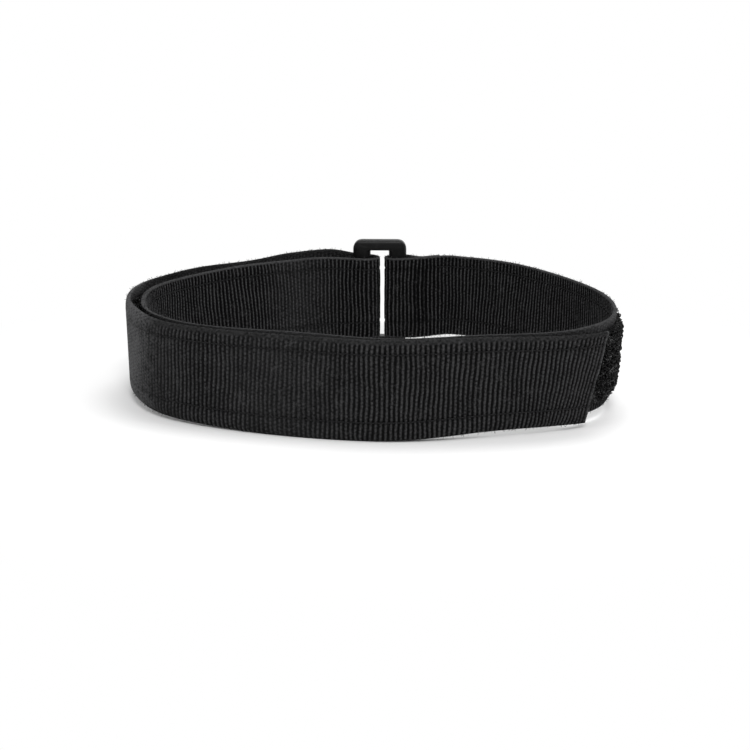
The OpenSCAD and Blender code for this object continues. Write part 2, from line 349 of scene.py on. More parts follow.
    def wander(self, t, s):
        """Slow rise and fall of the strap, within two millimetres."""
        off_ring = span(s, 12 * MM, RING_SETTLE, self.round_len - RING_SETTLE, RING_SETTLE)
        on_lap = rise(t, self.t_lap, 12 * MM)
        slow = 0.12 * wave(t, 0, 19 * MM, 0, 0.6) + 0.08 * wave(t, 0, 8.3 * MM, 0)
        loop = MM * bumps(s, LOOP_RAISED) + RIGHT_SIDE_RAISED * span(s, *RIGHT_SIDE)
        lap = MM * bumps(s, LAP_RAISED)
        return (off_ring * (slow * MM + on_lap * lap + (1 - on_lap) * loop)
                - RING_SAG * (1 - on_lap) * (1 - span(s, *OFF_SAG)))

    def wear(self, t):
        """Where the ribs fade: the sealed ends, the worn left end and two worn patches."""
        s = np.interp(t, self.t, self.s)
        outer = self.outer_share(t)
        sealed = 0.6 * rise(t, self.length - 1.3 * MM, 0.9 * MM) + fall(t, 0.8 * MM, 0.6 * MM)
        left_end = WORN_END * bump_at(s, self.left_at - 8 * MM, WORN_END_REACH)
        worn = outer * (left_end + bumps(s, WORN_OUTER)) + (1 - outer) * bumps(s, WORN_INNER)
        return np.maximum(np.clip(sealed, 0, 1), np.clip(worn, 0, MOST_WORN))

    def hem(self, t):
        """How much of the plain hem shows: more where the lap's edges roll together at the front."""
        return self.outer_share(t) * fall(np.interp(t, self.t, self.s), *ROLLS_AT_FRONT)

    def outer_share(self, t):
        return np.interp(t, self.t, (self.part == 4).astype(float))


ROUTE = StrapRoute()

# Runs of length at which the pieces are cut, and where the tapes and the edge seams start and stop
TURN_IN = ROUTE.t_at(2, ROUTE.round_len - 25 * MM)
TURN_OUT = ROUTE.t_at(4, ROUTE.round_len - 25 * MM)
SIDE_CUT = ROUTE.t_at(4, 267 * MM)
FRONT_CUT = ROUTE.t_at(4, 196 * MM)
LOOPS_FROM = ROUTE.t_at(2, TAIL_END + 0.4 * MM)
LOOPS_COVERED = ROUTE.t_at(2, TIP_AT + 3 * MM)
HOOKS_FROM = ROUTE.t_at(4, TIP_AT + HOOK_LEN)
HOOKS_TO = ROUTE.length - 0.3 * MM
SEAMS_FROM = ROUTE.t_at(2, TAIL_END)
SEAMS_TO = ROUTE.length - 2.2 * MM

# Stretches: name, first and last run, the body or the two bodies, and the nodes that they replace
LOOP, TURN, SIDE = ("strap_loop",), ("strap_loop", "turnback"), ("strap_loop", "outer_side")
FRONT, TIP = ("outer_side", "outer_front"), ("outer_front", "outer_tip")
WEBBING_STRETCHES = (
    ("inner", 0.0, TURN_IN, LOOP, ("anchor", "loop")),
    ("turnback", TURN_IN, TURN_OUT, TURN, ("turn",)),
    ("back", TURN_OUT, SIDE_CUT, SIDE, ("back", "side")),
    ("front", SIDE_CUT, FRONT_CUT, FRONT, ("side", "front")),
    ("free_end", FRONT_CUT, ROUTE.length, TIP, ("front", "tip")),
)
LOOP_STRETCHES = (
    ("exposed", LOOPS_FROM, LOOPS_COVERED, LOOP, ("inner",)),
    ("inner", LOOPS_COVERED, TURN_IN, LOOP, ("inner",)),
    ("turnback", TURN_IN, TURN_OUT, TURN, ("turn",)),
    ("back", TURN_OUT, SIDE_CUT, SIDE, ("back", "side")),
    ("side", SIDE_CUT, HOOKS_FROM, FRONT, ("side",)),
)
HOOK_STRETCHES = (
    ("front", HOOKS_FROM, FRONT_CUT, FRONT, ("front",)),
    ("free_end", FRONT_CUT, HOOKS_TO, TIP, ("front", "tip")),
)
PIECES = {}
# For each body that peels, its joint and the joint's place along the loop
PEELS = {
    "outer_side": ("side_peel", ROUTE.round_len - BACK_LEN),
    "outer_front": ("front_peel", TIP_AT + HOOK_LEN),
    "outer_tip": ("tip_peel", TIP_AT + TIP_LEN),
}
BEND_BEFORE = 3 * MM
BEND_AFTER = 9 * MM
TURNBACK_BEND = (-17 * MM, -10 * MM)


def bend_line(bodies):
    """Start and end of a piece's bend, in the part's frame."""
    if bodies == TURN:
        return [RING_MIDDLE + Vector((x, 0, 0)) for x in TURNBACK_BEND]
    joint, s = PEELS[bodies[1]]
    t = ROUTE.t_at(4, s)
    a, b = (Vector(ROUTE.place(t + k * MM, 0.0, 0.0)) for k in (-5, 5))
    travel = (b - a).normalized()
    pin = Vector(next(j for j in frame["joints"] if j["name"] == joint)["pos_m"])
    return pin - travel * BEND_BEFORE, pin + travel * BEND_AFTER


def place_piece(piece, bodies, nodes):
    """Lets a finished piece ride on its one body, or bakes it where it lies when it spans two, in the place
    of its nodes.
    """
    if len(bodies) == 1:
        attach(piece, bodies[0])
    else:
        start, end = bend_line(bodies)
        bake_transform(piece)
    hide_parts(*nodes)
    PIECES[piece.name] = piece


# ---- Sizes and colours that a user would change ----
def length(name, description, default, low, high):
    """A length, given in millimetres."""
    return FloatProperty(name=name, description=description, default=default * MM, min=low * MM,
                         max=high * MM, unit="LENGTH", precision=5)


def angle(name, description, default, low, high):
    """An angle, given in degrees."""
    return FloatProperty(name=name, description=description, default=math.radians(default),
                         min=math.radians(low), max=math.radians(high), subtype="ANGLE")


def colour(name, description, default):
    return FloatVectorProperty(name=name, description=description, default=default, subtype="COLOR",
                               min=0, max=1)


class StrapSizes(bpy.types.PropertyGroup):
    rib_pitch: length("Rib pitch", "Distance between two ribs of the webbing", 1.24, 0.6, 3)
    rib_depth: length("Rib depth", "Depth of the grooves between the ribs", 0.40, 0, 0.6)
    selvage: length("Selvage", "Width of the plain edge beside the ribs", 0.7, 0.3, 3)
    stitch_length: length("Stitch length", "Length of one stitch of the seams", 2.5, 1, 5)
    thread: length("Thread", "Diameter of the sewing thread", 0.36, 0.2, 0.8)
    fuzz_count: FloatProperty(name="Fuzz per square millimetre", default=1.6, min=0.0, max=4.0,
                              description="Loose fibre ends along the edges")
    fuzz_length: length("Fuzz length", "Length of the longest loose fibre ends", 0.7, 0.2, 2)
    seed: IntProperty(name="Seed", description="Seed of the weave's and the pile's chance", default=7, min=0)


class TapeSizes(bpy.types.PropertyGroup):
    pile_height: length("Pile height", "Height of the loops where nothing covers them", 1.75, 0.5, 4)
    covered_height: length("Covered pile height", "Height of the loops under the lap", 1.0, 0.3, 2)
    pile_count: FloatProperty(name="Loops per square millimetre", description="How densely the pile stands",
                              default=1.7, min=0.2, max=4.0)
    loop_thread: length("Loop thread", "Diameter of the pile's thread", 0.38, 0.1, 0.6)
    hook_height: length("Hook height", "Height of the moulded hooks", 0.9, 0.3, 2)
    hook_pitch: length("Hook pitch", "Distance between two hooks", 1.5, 0.8, 3)


class StrapColours(bpy.types.PropertyGroup):
    webbing: colour("Webbing", "Colour of the webbing's ribs", (0.040, 0.040, 0.041))
    # Painted shade: the colour in the grooves between the ribs and along the seams' pressed lines
    groove_shade: colour("Groove", "Colour between the ribs", (0.0016, 0.0016, 0.0017))
    # The pile's colour at the tops of its loops, where it carries a painted highlight
    pile: colour("Pile", "Colour of the loop pile", (0.17, 0.17, 0.172))
    hooks: colour("Hooks", "Colour of the moulded hooks", (0.018, 0.018, 0.019))
    thread: colour("Thread", "Colour of the sewing thread", (0.013, 0.013, 0.0135))
    ring: colour("Ring", "Colour of the moulded ring", (0.006, 0.006, 0.0062))
    floor: colour("Floor", "Colour of the floor", (0.93, 0.93, 0.93))


class StageSizes(bpy.types.PropertyGroup):
    lens: FloatProperty(name="Lens", description="Focal length of the photograph's camera, in millimetres",
                        default=64.79, min=20, max=200)
    pitch: angle("Pitch", "How far the camera looks down", 14.394, 0, 80)
    distance: length("Distance", "Camera's distance from the ring's vertical line", 376.104, 100, 2000)
    height: length("Height", "Camera's height over the floor", 99.607, 10, 1000)
    sideways: length("Sideways", "Camera's place across the object", 14.055, -100, 100)
    turn: angle("Turn", "How far the camera turns to its left", 1.891, -30, 30)


# ---- Node trees: one small writer for geometry trees and shader trees ----
def arithmetic(operation, swapped=False):
    def method(self, other):
        pair = (other, self) if swapped else (self, other)
        return self.writer.math(operation, *pair)
    return method


class Value:
    """A node's output, which ordinary arithmetic turns into math nodes."""

    def __init__(self, writer, socket):
        self.writer, self.socket = writer, socket

    def __abs__(self):
        return self.writer.math("ABSOLUTE", self)

    __add__ = __radd__ = arithmetic("ADD")
    __mul__ = __rmul__ = arithmetic("MULTIPLY")
    __sub__ = arithmetic("SUBTRACT")
    __rsub__ = arithmetic("SUBTRACT", swapped=True)
    __truediv__ = arithmetic("DIVIDE")
    __rtruediv__ = arithmetic("DIVIDE", swapped=True)
    __gt__ = arithmetic("GREATER_THAN")
    __lt__ = arithmetic("LESS_THAN")


class NodeWriter:
    """Adds nodes to a tree and links whatever is an output."""

    def __init__(self, tree):
        self.tree = tree

    def add(self, kind, inputs=None, out=0, **settings):
        node = self.tree.nodes.new(kind)
        for name, value in settings.items():
            setattr(node, name, value)
        for key, value in (inputs or {}).items():
            self.join(value, node.inputs[key])
        return Value(self, node.outputs[out]) if out is not None else node

    def join(self, value, socket):
        if isinstance(value, Value):
            self.tree.links.new(value.socket, socket)
        elif isinstance(value, bpy.types.NodeSocket):
            self.tree.links.new(value, socket)
        else:
            socket.default_value = value

    def math(self, operation, *values, clamp=False):
        return self.add("ShaderNodeMath", dict(enumerate(values)), operation=operation, use_clamp=clamp)

    def scale(self, vector, factor):
        return self.add("ShaderNodeVectorMath", {0: vector, "Scale": factor}, operation="SCALE")

    def noise(self, vector, scale, detail, **more):
        return self.add("ShaderNodeTexNoise", {"Vector": vector, "Scale": scale, "Detail": detail, **more})

    def soft_step(self, value, low, high, to_low=0.0, to_high=1.0):
        return self.add("ShaderNodeMapRange", {0: value, 1: low, 2: high, 3: to_low, 4: to_high},
                        interpolation_type="SMOOTHSTEP")

    def attribute(self, name):
        return self.add("ShaderNodeAttribute", attribute_name=name, out=2)

    def object_place(self):
        return self.add("ShaderNodeTexCoord", out=3)

    def seen_directly(self):
        """1 for rays that show the thing itself: from the camera, in a gloss or through glass."""
        path = self.add("ShaderNodeLightPath", out=None).outputs
        return self.math("MAXIMUM", path["Is Camera Ray"],
                         self.math("MAXIMUM", path["Is Glossy Ray"], path["Is Transmission Ray"]))


class GroupWriter(NodeWriter):
    """Writes a new node group, and reads its inputs by name, as in w["Seed"]."""

    def __init__(self, name, kind, inputs, outputs):
        super().__init__(bpy.data.node_groups.new(name, kind + "NodeTree"))
        for direction, sockets in (("INPUT", inputs), ("OUTPUT", outputs)):
            for label, socket_kind, *default in sockets:
                socket = self.tree.interface.new_socket(
                    name=label, in_out=direction, socket_type="NodeSocket" + socket_kind)
                if default:
                    socket.default_value = default[0]
        self.inlet = self.tree.nodes.new("NodeGroupInput")
        self.outlet = self.tree.nodes.new("NodeGroupOutput")

    def __getitem__(self, name):
        return Value(self, self.inlet.outputs[name])

    def give(self, values):
        for name, value in values.items():
            self.join(value, self.outlet.inputs[name])
        return self.tree


class ShaderGroupWriter(GroupWriter):
    """A shader node group of numbers alone."""

    def __init__(self, name, defaults, outputs):
        super().__init__(name, "Shader", [(label, "Float", value) for label, value in defaults.items()],
                         [(label, "Float") for label in outputs])


class GrowthWriter(GroupWriter):
    """A geometry tree that makes something on a base mesh, with a fixed seed and one material."""

    def __init__(self, name, defaults):
        inputs = [("Geometry", "Geometry")]
        inputs += [(label, "Float", value) for label, value in defaults.items()]
        inputs += [("Seed", "Int", 1), ("Material", "Material")]
        super().__init__(name, "Geometry", inputs, [("Geometry", "Geometry")])

    def named(self, name, kind="FLOAT"):
        return self.add("GeometryNodeInputNamedAttribute", {"Name": name}, data_type=kind)

    def stored(self, geometry, name, value):
        return self.add("GeometryNodeStoreNamedAttribute", {
            "Geometry": geometry, "Name": name, "Value": value}, data_type="FLOAT", domain="POINT")

    def scattered(self, mesh, density):
        spread = self.add("GeometryNodeDistributePointsOnFaces",
                          {"Mesh": mesh, "Density": density, "Seed": self["Seed"]},
                          out=None, distribute_method="RANDOM")
        return spread.outputs

    def chance(self, low, high):
        return self.add("FunctionNodeRandomValue", {2: low, 3: high, "Seed": self["Seed"]},
                        out=1, data_type="FLOAT")

    def facing(self, primary, secondary, axes):
        return self.add("FunctionNodeAxesToRotation", {"Primary Axis": primary, "Secondary Axis": secondary},
                        primary_axis=axes[0], secondary_axis=axes[1])

    def tilted(self, rotation, most):
        """A rotation with a random turn of its own, at most by the given angles."""
        angles = self.add("FunctionNodeRandomValue", {"Min": tuple(-a for a in most), "Max": most,
                                                      "Seed": self["Seed"]}, data_type="FLOAT_VECTOR")
        turn = self.add("FunctionNodeEulerToRotation", {0: angles})
        return self.add("FunctionNodeRotateRotation", {"Rotation": rotation, "Rotate By": turn},
                        rotation_space="LOCAL")

    def placed(self, points, instance, rotation, scale, pick=False):
        return self.add("GeometryNodeInstanceOnPoints", {
            "Points": points, "Instance": instance, "Pick Instance": pick, "Rotation": rotation,
            "Scale": scale})

    def thread(self, points, thickness, sides, steps):
        """A thread along one Bezier arc, closed at both ends, whose strand value peaks at its middle."""
        ends = dict(zip(("Start", "Start Handle", "End Handle", "End"), points))
        arc = self.add("GeometryNodeCurvePrimitiveBezierSegment", {"Resolution": steps, **ends},
                       mode="POSITION")
        middle = self.math("SINE", self.add("GeometryNodeSplineParameter") * math.pi)
        ring = self.add("GeometryNodeCurvePrimitiveCircle", {"Resolution": sides, "Radius": thickness})
        return self.add("GeometryNodeCurveToMesh", {
            "Curve": self.stored(arc, "strand", middle), "Profile Curve": ring, "Fill Caps": True})

    def finish(self, *parts):
        """Joins the parts and ends the tree in Realize Instances and Set Material."""
        together = self.add("GeometryNodeJoinGeometry", out=None)
        for part in parts:
            self.join(part, together.inputs[0])
        plain = self.add("GeometryNodeRealizeInstances", {"Geometry": together.outputs[0]})
        return self.give({"Geometry": self.add("GeometryNodeSetMaterial", {
            "Geometry": plain, "Material": self["Material"]})})


CLOUDS_ALONG = 260.0         # slow unevenness of the weave, in clouds per metre
CLOUDS_ACROSS = 330.0
# Arcs of threads, one unit high or long: start, its handle, the end's handle and end
HAIR_ARC = ((0, 0, -0.2), (0.05, 0, 0.4), (0.45, 0.1, 0.5), (0.7, 0.3, 0.85))
HOOK_ARC = ((0, 0, -0.1), (-0.05, 0, 1.35), (0.85, 0, 1.35), (0.62, 0, 0.45))
STITCH_ARC = ((-0.43, 0, -0.12), (-0.26, 0, 0.07), (0.26, 0, 0.07), (0.43, 0, -0.12))
LOOP_ARCS = (
    ((-0.16, 0, -0.15), (-0.75, 0.25, 1.35), (0.70, -0.30, 1.30), (0.18, 0, -0.15)),
    ((-0.10, 0, -0.15), (-0.95, -0.20, 0.95), (0.35, 0.75, 1.60), (0.45, 0.10, -0.05)),
    ((0, -0.12, -0.15), (0.45, -0.85, 1.25), (-0.55, 0.75, 1.25), (0.10, 0.30, -0.10)),
    ((-0.05, 0, -0.15), (0.80, 0.60, 1.10), (-0.90, 0.65, 1.05), (-0.25, -0.35, 0.05)),
)

@cache
def ribbed_webbing_tree():
    """Ribs across a woven strap, pinched where seams run, with loose fibre ends along its rims."""
    w = GrowthWriter("Ribbed Webbing", {
        "Rib Pitch": 0.001, "Rib Depth": 0.0003, "Strap Width": 0.025, "Selvage": 0.0015,
        "Seam Height": 0.0085, "Seam Middle": 0.0, "Seam Pinch": 0.0002, "Cross Seam": 0.01,
        "Cross Seam Gap": 0.002, "Unevenness": 0.35, "Fuzz per Area": 1000000.0, "Fuzz Length": 0.0008})
    along, across = w.named("along"), w.named("across")

    # Ribs, uneven by chance from rib to rib and by slow noise
    cell = along / w["Rib Pitch"]
    ridge = w.math("COSINE", cell * (2 * math.pi)) * 0.5 + 0.5
    number = w.math("FLOOR", cell + 0.5)
    chance = w.add("ShaderNodeTexWhiteNoise", {"W": number + w["Seed"]}, noise_dimensions="1D")
    place = w.add("ShaderNodeCombineXYZ", {0: along * CLOUDS_ALONG, 1: across * CLOUDS_ACROSS,
                                          2: w["Seed"]})
    cloud = w.noise(place, 1.0, 2.0)
    patch = w.noise(place, 1.7, 3.0, Distortion=0.6)
    plain = w.math("MULTIPLY", w.named("plain"), patch * 1.4 + 0.42, clamp=True)
    uneven = w["Unevenness"] * (chance - 0.5 + (cloud - 0.5) * 1.6)

    # Plain hems, and cloth that the seams press in
    height = abs(across)
    half = w["Strap Width"] * 0.5
    upper = across > 0.0
    hem = w["Selvage"] * (upper * w.named("hem") + (upper * 0.4 + 0.6))
    edge = w.soft_step(half - height, hem * 0.6, hem)
    from_middle = abs(across - w["Seam Middle"])
    seam = w.soft_step(abs(from_middle - w["Seam Height"]), 0.1 * MM, 0.7 * MM, 1.0, 0.0)
    first = abs(along - w["Cross Seam"])
    second = abs(along - (w["Cross Seam"] + w["Cross Seam Gap"]))
    crossing = (w.soft_step(w.math("MINIMUM", first, second), 0.2 * MM, 1.1 * MM, 1.0, 0.0)
                * (from_middle < w["Seam Height"]))
    pressed = w.math("MAXIMUM", seam, crossing)
    lift = (ridge + uneven * ridge - 1.0) * (w["Rib Depth"] * (edge * (1.0 - plain)))
    sink = w["Seam Pinch"] * pressed * (1.0 - plain)
    offset = w.scale(w.named("outside", "FLOAT_VECTOR"), lift - sink)
    cloth = w.add("GeometryNodeSetPosition", {"Geometry": w["Geometry"], "Offset": offset})
    for name, value in (("rib", ridge), ("pressed", pressed), ("edge", edge), ("plain", plain)):
        cloth = w.stored(cloth, name, value)

    # Fuzz on the rims, but none that would reach the floor
    on_rim = height > half - 0.4 * MM
    above = w.add("ShaderNodeSeparateXYZ", {0: w.add("GeometryNodeInputPosition")}, out=2)
    off_floor = above > w["Fuzz Length"] * 1.2
    spread = w.scattered(cloth, on_rim * off_floor * w["Fuzz per Area"])
    hair = w.thread(HAIR_ARC, 0.085, 3, 3)
    hairs = w.placed(spread["Points"], hair, w.tilted(spread["Rotation"], (0.8, 0.8, 3.14)),
                     w.chance(0.35, 1.0) * w["Fuzz Length"])
    return w.finish(hairs, cloth)


@cache
def loop_pile_tree():
    """Curled loops of thread scattered on the marked faces of a tape."""
    w = GrowthWriter("Loop Pile", {"Loops per Area": 1000000.0, "Thread Share": 0.12})
    spread = w.scattered(w["Geometry"], w.named("cover") * w["Loops per Area"])
    shapes = w.add("GeometryNodeGeometryToInstance", out=None)
    for points in LOOP_ARCS:
        w.join(w.thread(points, w["Thread Share"], 3, 7), shapes.inputs[0])
    up = w.facing(w.named("outside", "FLOAT_VECTOR"), (0, 0, 1), "ZX")
    loops = w.placed(spread["Points"], shapes.outputs[0], w.tilted(up, (0.55, 0.55, 3.14)),
                     w.named("height") * w.chance(0.72, 1.18), pick=True)
    return w.finish(loops, w["Geometry"])


@cache
def hook_rows_tree():
    """Moulded hooks in rows, one at the middle of each marked face."""
    w = GrowthWriter("Hook Rows", {"Hook Height": 0.001, "Thread Share": 0.13})
    middles = w.add("GeometryNodeMeshToPoints", {
        "Mesh": w["Geometry"], "Selection": w.named("cover") > 0.5}, mode="FACES")
    hook = w.thread(HOOK_ARC, w["Thread Share"], 5, 7)
    up = w.facing(w.named("outside", "FLOAT_VECTOR"), (0, 0, 1), "ZX")
    hooks = w.placed(middles, hook, w.tilted(up, (0.25, 0.25, 0.3)), w["Hook Height"])
    return w.finish(hooks, w["Geometry"])


@cache
def stitch_row_tree():
    """Single stitches along the edges of a row, each rising out of the cloth and diving in again."""
    w = GrowthWriter("Stitch Row", {"Stitch Length": 0.0025, "Thread": 0.0004})
    row = w.add("GeometryNodeMeshToCurve", {"Mesh": w["Geometry"]})
    cut = w.add("GeometryNodeResampleCurve", {"Curve": row, "Length": w["Stitch Length"]}, mode="LENGTH")
    way = w.facing(w.add("GeometryNodeInputTangent"), w.named("outside", "FLOAT_VECTOR"), "XZ")
    stitch = w.thread(STITCH_ARC, w["Thread"] * 0.5 / w["Stitch Length"], 6, 6)
    stitches = w.placed(cut, stitch, w.tilted(way, (0.1, 0.03, 0.07)), w["Stitch Length"])
    return w.finish(stitches)


def grown(tree, base, name, values):
    """Runs a tree on a base object and returns the result as a plain mesh object."""
    modifier = base.modifiers.new(tree.name, "NODES")
    modifier.node_group = tree
    sockets = {s.name: s.identifier for s in tree.interface.items_tree
               if s.item_type == "SOCKET" and s.in_out == "INPUT"}
    for key, value in values.items():
        modifier[sockets[key]] = value
    return settled(base, name)


def settled(base, name):
    """The evaluated base as a plain mesh object; the base goes."""
    evaluated = base.evaluated_get(bpy.context.evaluated_depsgraph_get())
    mesh = bpy.data.meshes.new_from_object(evaluated)
    bpy.data.objects.remove(base)
    mesh.name = name
    if not len(mesh.polygons):
        raise RuntimeError(f"{name} came out empty")
    return shown(name, mesh)


def shown(name, mesh):
    item = bpy.data.objects.new(name, mesh)
    bpy.context.scene.collection.objects.link(item)
    return item


# ---- Meshes swept along the strap's route ----
def mesh_object(name, points, faces, attributes=(), edges=()):
    mesh = bpy.data.meshes.new(name)
    mesh.from_pydata([tuple(p) for p in points], list(edges), faces)
    for label, kind, values in attributes:
        domain = "POINT" if len(values) == len(points) else "FACE"
        layer = mesh.attributes.new(label, kind, domain)
        values = np.asarray(values, np.float32)
        layer.data.foreach_set("vector" if kind == "FLOAT_VECTOR" else "value", values.ravel())
    mesh.update()
    return shown(name, mesh)


def swept_band(name, runs, profile, outside_signs, **more):
    """A closed band: the profile's points (height, depth) carried along the runs of length.

    More attributes come as rows by columns: for each point, or for each face as cover does."""
    profile = np.asarray(profile)
    t = runs[:, None]
    points = ROUTE.place(t, profile[None, :, 0], profile[None, :, 1])
    rows, count = len(runs), len(profile)
    outside = np.zeros((rows, count, 3))
    outside[..., :2] = ROUTE.direction(runs)[:, None, :] * np.asarray(outside_signs)[None, :, None]
    index = np.arange(rows * count).reshape(rows, count)
    here, beside = index[:-1], np.roll(index[:-1], -1, axis=1)
    ahead, across = index[1:], np.roll(index[1:], -1, axis=1)
    faces = np.stack([here, ahead, across, beside], -1).reshape(-1, 4).tolist()
    faces += [index[0].tolist(), index[-1, ::-1].tolist()]
    attributes = [("outside", "FLOAT_VECTOR", outside.reshape(-1, 3))]
    cover = more.pop("cover", None)
    if cover is not None:
        marked = np.broadcast_to(cover, (rows - 1, count)).ravel()
        attributes.append(("cover", "FLOAT", np.concatenate([marked, [0.0, 0.0]])))
    more.update(along=t, across=profile[None, :, 0])
    attributes += [(label, "FLOAT", np.broadcast_to(values, (rows, count)).ravel())
                   for label, values in more.items()]
    item = mesh_object(name, points.reshape(-1, 3), faces, attributes)
    caps = np.zeros(len(item.data.polygons), bool)
    caps[-2:] = True
    sharp = item.data.attributes.new("sharp_face", "BOOLEAN", "FACE")
    sharp.data.foreach_set("value", caps)
    return item


def columns(start, end, pitch, per_pitch=1):
    """Runs at whole fractions of the pitch, with both ends."""
    step = pitch / per_pitch
    first, last = math.ceil(start / step + 0.3), math.floor(end / step - 0.3)
    return np.concatenate([[start], np.arange(first, last + 1) * step, [end]])


def webbing_profile():
    """Heights and depths round the webbing: A face upwards, upper edge, B face downwards, lower edge."""
    edge_r = 0.42 * MM
    reach = WEB_W / 2 - edge_r
    seam_height, seam_middle, _ = seam_places()
    seams = [seam_middle + sign * seam_height for sign in (-1, 1)]
    near = [seam + k * MM for seam in seams for k in (-0.75, -0.45, -0.2, 0.0, 0.2, 0.45, 0.75)]
    rims = [sign * (WEB_W / 2 - k * MM) for sign in (-1, 1) for k in (0.75, 1.05, 1.4)]
    between = [h for h in np.linspace(-10.8, 10.8, 19) * MM if min(abs(h - n) for n in near) > 0.4 * MM]
    face_a = [(h, -WEB_T) for h in sorted(between + near + rims + [-reach, reach])]
    face_b = [(h, 0.0) for h in np.linspace(reach, -reach, 8)]
    turn = [(edge_r * math.sin(a), WEB_T / 2 * math.cos(a)) for a in np.radians([45, 90, 135])]
    upper = [(reach + out, -WEB_T / 2 - back) for out, back in turn]
    lower = [(-reach - out, -WEB_T / 2 + back) for out, back in turn]
    signs = [-1.0] * len(face_a) + [0.0] * 3 + [1.0] * len(face_b) + [0.0] * 3
    return face_a + upper + face_b + lower, signs


def tape_profile(thickness, rows):
    """Heights and depths round a tape on the B face: two points under it, the rest on top."""
    half = TAPE_W / 2
    under = [(h, 0.02 * MM) for h in (-half * 0.98, half * 0.98)]
    top = [(h, thickness) for h in np.linspace(half, -half, rows)]
    return under + top, [0.0, 0.0] + [1.0] * rows


# ---- Materials ----
@cache
def yarn_group():
    """Warp yarns that run along a strap and pass over every other rib."""
    w = ShaderGroupWriter("Yarn Weave", {"Yarn Pitch": 0.0005, "Rib Pitch": 0.00116, "Irregularity": 0.3},
                          ("Height", "Shade"))
    along, across = w.attribute("along"), w.attribute("across")
    rib = w.math("FLOOR", along / w["Rib Pitch"] + 0.5)
    shift = w.math("MODULO", rib, 2.0) * 0.5
    round_yarn = abs(w.math("SINE", (across / w["Yarn Pitch"] + shift) * math.pi))
    place = w.add("ShaderNodeCombineXYZ", {0: along * 1000.0, 1: across * 1000.0})
    fine = w.noise(place, 1.7, 4.0, Roughness=0.65)
    slow = w.noise(place, 0.11, 2.0)
    uneven = (fine - 0.5) * (w["Irregularity"] * 3.0)
    shade = (round_yarn * 0.40 + 0.55) + (uneven + (slow - 0.5) * 0.9)
    return w.give({"Height": round_yarn * 0.7 + uneven, "Shade": shade})


@cache
def lint_group():
    """Fine dust and fibre ends: a mask of small pale specks and streaks."""
    w = ShaderGroupWriter("Lint", {"Scale": 1.0, "Amount": 0.3}, ("Mask", "Height"))
    place = w.scale(w.object_place(), w["Scale"] * 1000.0)
    specks = w.noise(place, 2.3, 3.0, Roughness=0.7)
    streaks = w.noise(place, 0.45, 4.0, Distortion=0.8)
    return w.give({"Mask": w.soft_step(specks * streaks, 0.27, 0.45) * w["Amount"], "Height": specks})


@cache
def moulded_group():
    """Fine spark-eroded grain and scuffs of a moulded part."""
    w = ShaderGroupWriter("Moulded Grain", {"Grain Size": 0.0002, "Scuffs": 0.4}, ("Height", "Scuff"))
    place = w.scale(w.object_place(), 1.0 / w["Grain Size"])
    worn = w.noise(place, 0.05, 5.0, Distortion=1.2)
    return w.give({"Height": w.noise(place, 0.7, 3.0), "Scuff": w.soft_step(worn, 0.52, 0.72) * w["Scuffs"]})


class MaterialWriter(NodeWriter):
    """A material with its own Principled BSDF and constant finish values on it."""

    def __init__(self, name, **constants):
        self.material = bpy.data.materials.new(name)
        self.material.use_nodes = True
        super().__init__(self.material.node_tree)
        self.shader = self.tree.nodes["Principled BSDF"]
        for key, value in constants.items():
            self.shader.inputs[key.replace("_", " ")].default_value = value

    def group(self, tree, **values):
        inputs = {key.replace("_", " "): value for key, value in values.items()}
        node = self.add("ShaderNodeGroup", inputs, out=None, node_tree=tree)
        return {socket.name: Value(self, socket) for socket in node.outputs}

    def blend_colours(self, share, low, high):
        low, high = (tone if isinstance(tone, Value) else (*tone, 1.0) for tone in (low, high))
        return self.add("ShaderNodeMix", {0: share, 6: low, 7: high}, out=2, data_type="RGBA")

    def bump(self, height, distance, strength, **before):
        return self.add("ShaderNodeBump", {"Height": height, "Distance": distance, "Strength": strength,
                                           **before})

    def finish(self, colour, roughness, normal):
        self.join(colour, self.shader.inputs["Base Color"])
        self.join(roughness, self.shader.inputs["Roughness"])
        self.join(normal, self.shader.inputs["Normal"])
        return self.material


def shades(name):
    """One of the strap's colours, as a function of the factor that makes it lighter or darker."""
    tone = getattr(bpy.context.scene.strap_colours, name)
    return lambda factor: tuple(min(1.0, part * factor) for part in tone)


